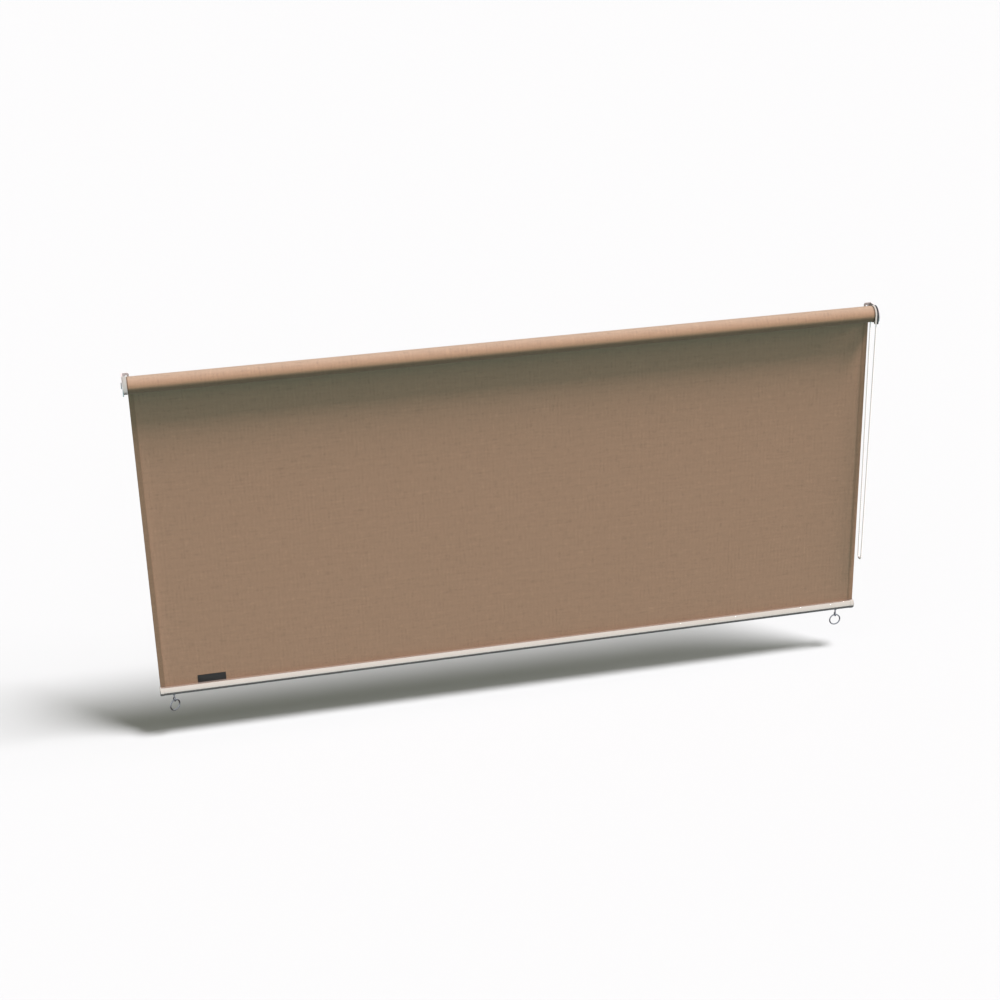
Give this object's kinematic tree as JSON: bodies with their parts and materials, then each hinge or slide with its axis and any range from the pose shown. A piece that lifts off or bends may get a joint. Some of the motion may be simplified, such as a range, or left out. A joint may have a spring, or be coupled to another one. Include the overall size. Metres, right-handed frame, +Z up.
{
  "type": "outdoor roller blind",
  "caption": "Wide outdoor roller blind: wall brackets, chain-driven roller with wound cloth, hemmed hanging sheet, round bottom bar with caps and tie rings; it rolls up and down.",
  "frame": {"origin": "on the wall, at the middle of the four wall screw holes", "axes": "+X along the roller to the chain drive's end, +Y into the wall, +Z up"},
  "size_m": [2.01, 0.064, 0.9685],
  "materials": {
    "bracket_steel": "satin plated sheet",
    "chrome_wire": "bright plated wire",
    "bar_aluminium": "satin anodised",
    "awning_cloth": "plain woven awning cloth",
    "white_plastic": "moulded",
    "grey_plastic": "moulded",
    "dark_plastic": "moulded"
  },
  "bodies": {
    "wall_frame": {"idle_bracket": "bracket_steel", "drive_bracket": "bracket_steel", "idle_cover": "bracket_steel", "guard_lid": "bar_aluminium", "chain_guard": "dark_plastic", "idle_pin": "bracket_steel", "clutch_spindle": "grey_plastic", "spindle_screw": "bracket_steel", "spindle_clip": "bracket_steel", "bead_chain": "white_plastic", "chain_connector": "grey_plastic", "fabric_sheet": "awning_cloth"},
    "roller": {"roller_tube": "bar_aluminium", "tube_spline": "grey_plastic", "fabric_roll": "awning_cloth", "idle_plug": "white_plastic", "idle_bush": "grey_plastic", "drive_plug": "white_plastic", "chain_wheel": "white_plastic", "wrap_springs": "bracket_steel"},
    "bar": {"bottom_bar": "bar_aluminium", "hem_rod": "bracket_steel", "left_bar_cap": "bar_aluminium", "right_bar_cap": "bar_aluminium", "left_eye_bolt": "chrome_wire", "right_eye_bolt": "chrome_wire", "eye_nuts": "bracket_steel"},
    "left_tie": {"left_ring": "chrome_wire"},
    "right_tie": {"right_ring": "chrome_wire"}
  },
  "joints": [
    {"name": "roller_turn", "type": "hinge", "parent": "wall_frame", "child": "roller", "pos_m": [0, -0.04, 0.004], "axis": [1, 0, 0], "range_deg": [0, 2135]},
    {"name": "bar_lift", "type": "slide", "parent": "wall_frame", "child": "bar", "axis": [0, 0, 1], "range_m": [0, 0.82], "deforming": ["fabric_sheet"]},
    {"name": "left_ring_swing", "type": "hinge", "parent": "bar", "child": "left_tie", "pos_m": [-0.956, -0.01695, -0.90915], "axis": [0.8192, 0.5736, 0], "range_deg": [-80, 80]},
    {"name": "right_ring_swing", "type": "hinge", "parent": "bar", "child": "right_tie", "pos_m": [0.94, -0.01695, -0.90915], "axis": [1, 0, 0], "range_deg": [-80, 80]}
  ],
  "couplings": [
    {"joint": "bar_lift", "follows": "roller_turn", "m_per_rad": 0.022}
  ]
}
